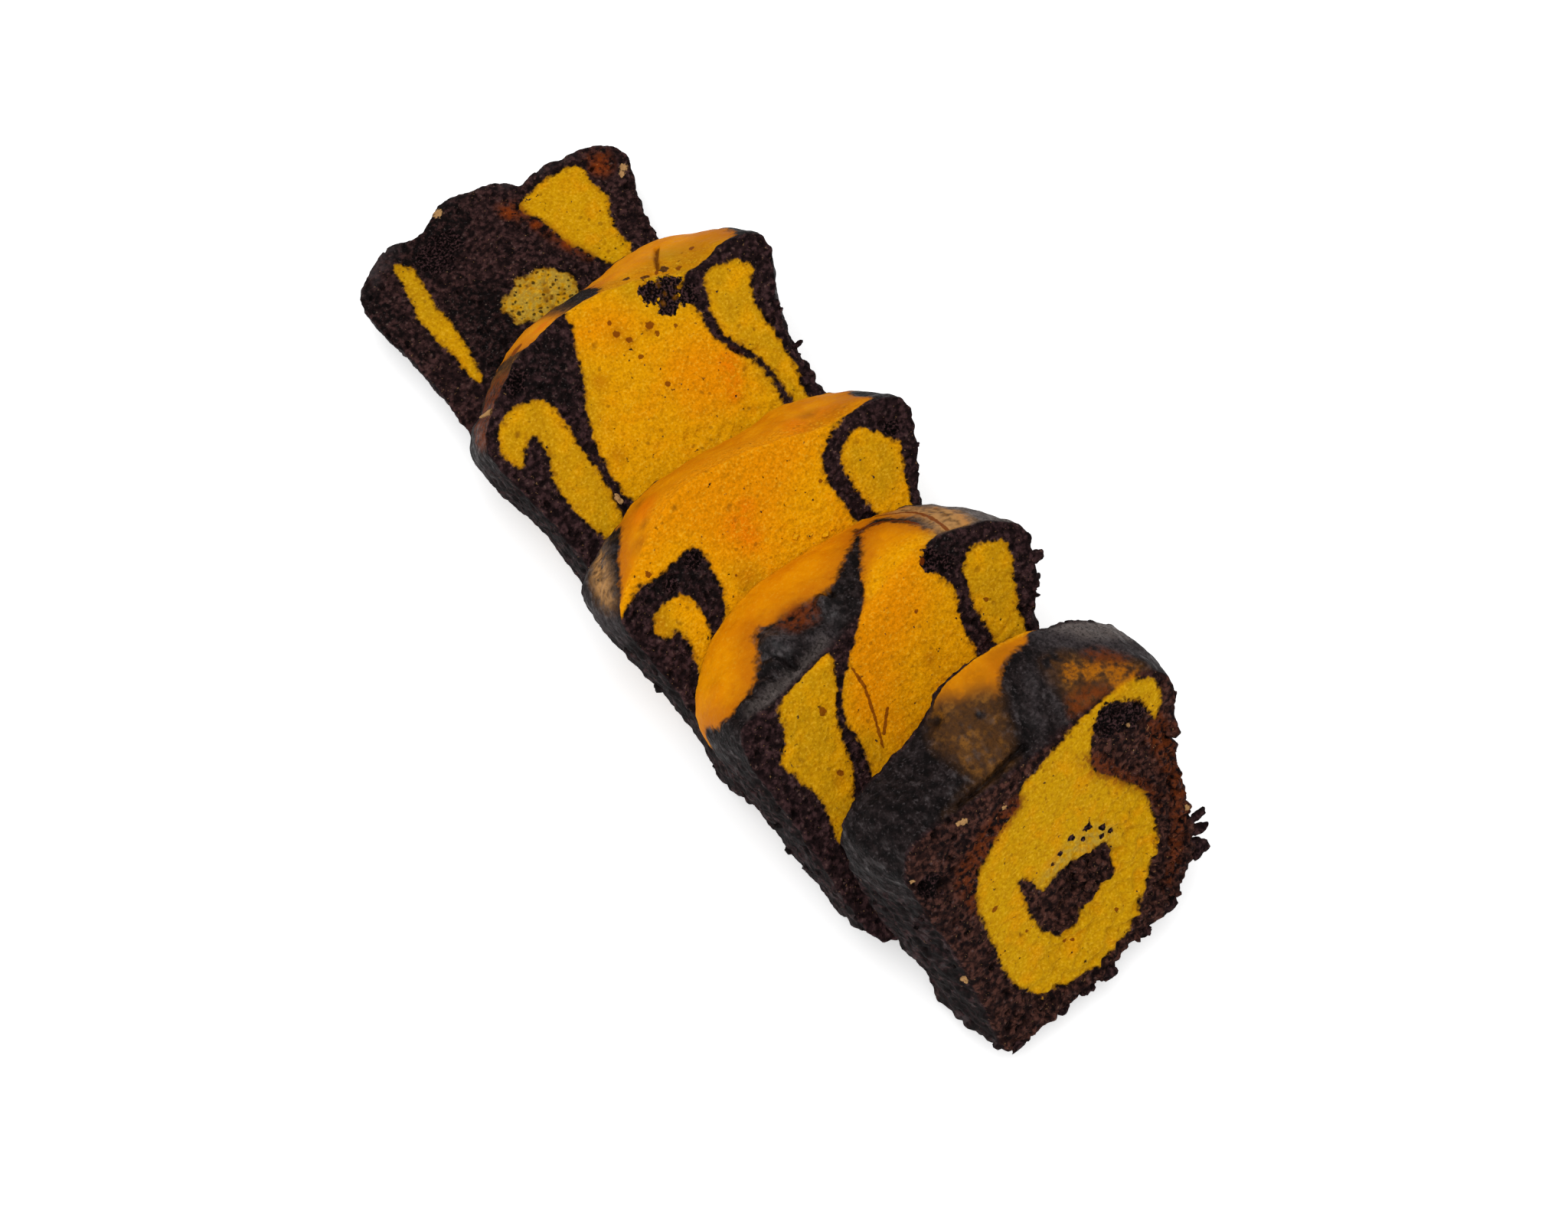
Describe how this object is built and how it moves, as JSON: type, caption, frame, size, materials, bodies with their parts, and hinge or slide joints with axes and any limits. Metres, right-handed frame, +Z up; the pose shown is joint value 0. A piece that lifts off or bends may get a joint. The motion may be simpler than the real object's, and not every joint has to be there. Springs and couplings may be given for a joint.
{
  "type": "sliced marble loaf cake",
  "caption": "Marble loaf cake of golden and dark crumb, cut in thick slices that lie in a leaning row with the domed crust up.",
  "frame": {"origin": "middle of the underside of the box round the row of slices", "axes": "+X across the slices to the right as seen from the front slice, +Y along the row from the front slice to the rear one, +Z up"},
  "size_m": [0.1044, 0.2876, 0.0777],
  "materials": {
    "cake_crumb": "matt, porous crumb with a thin baked crust"
  },
  "bodies": {
    "root": {"slice_1_front": "cake_crumb", "slice_2": "cake_crumb", "slice_3": "cake_crumb", "slice_4": "cake_crumb", "slice_5_rear": "cake_crumb"}
  },
  "joints": []
}
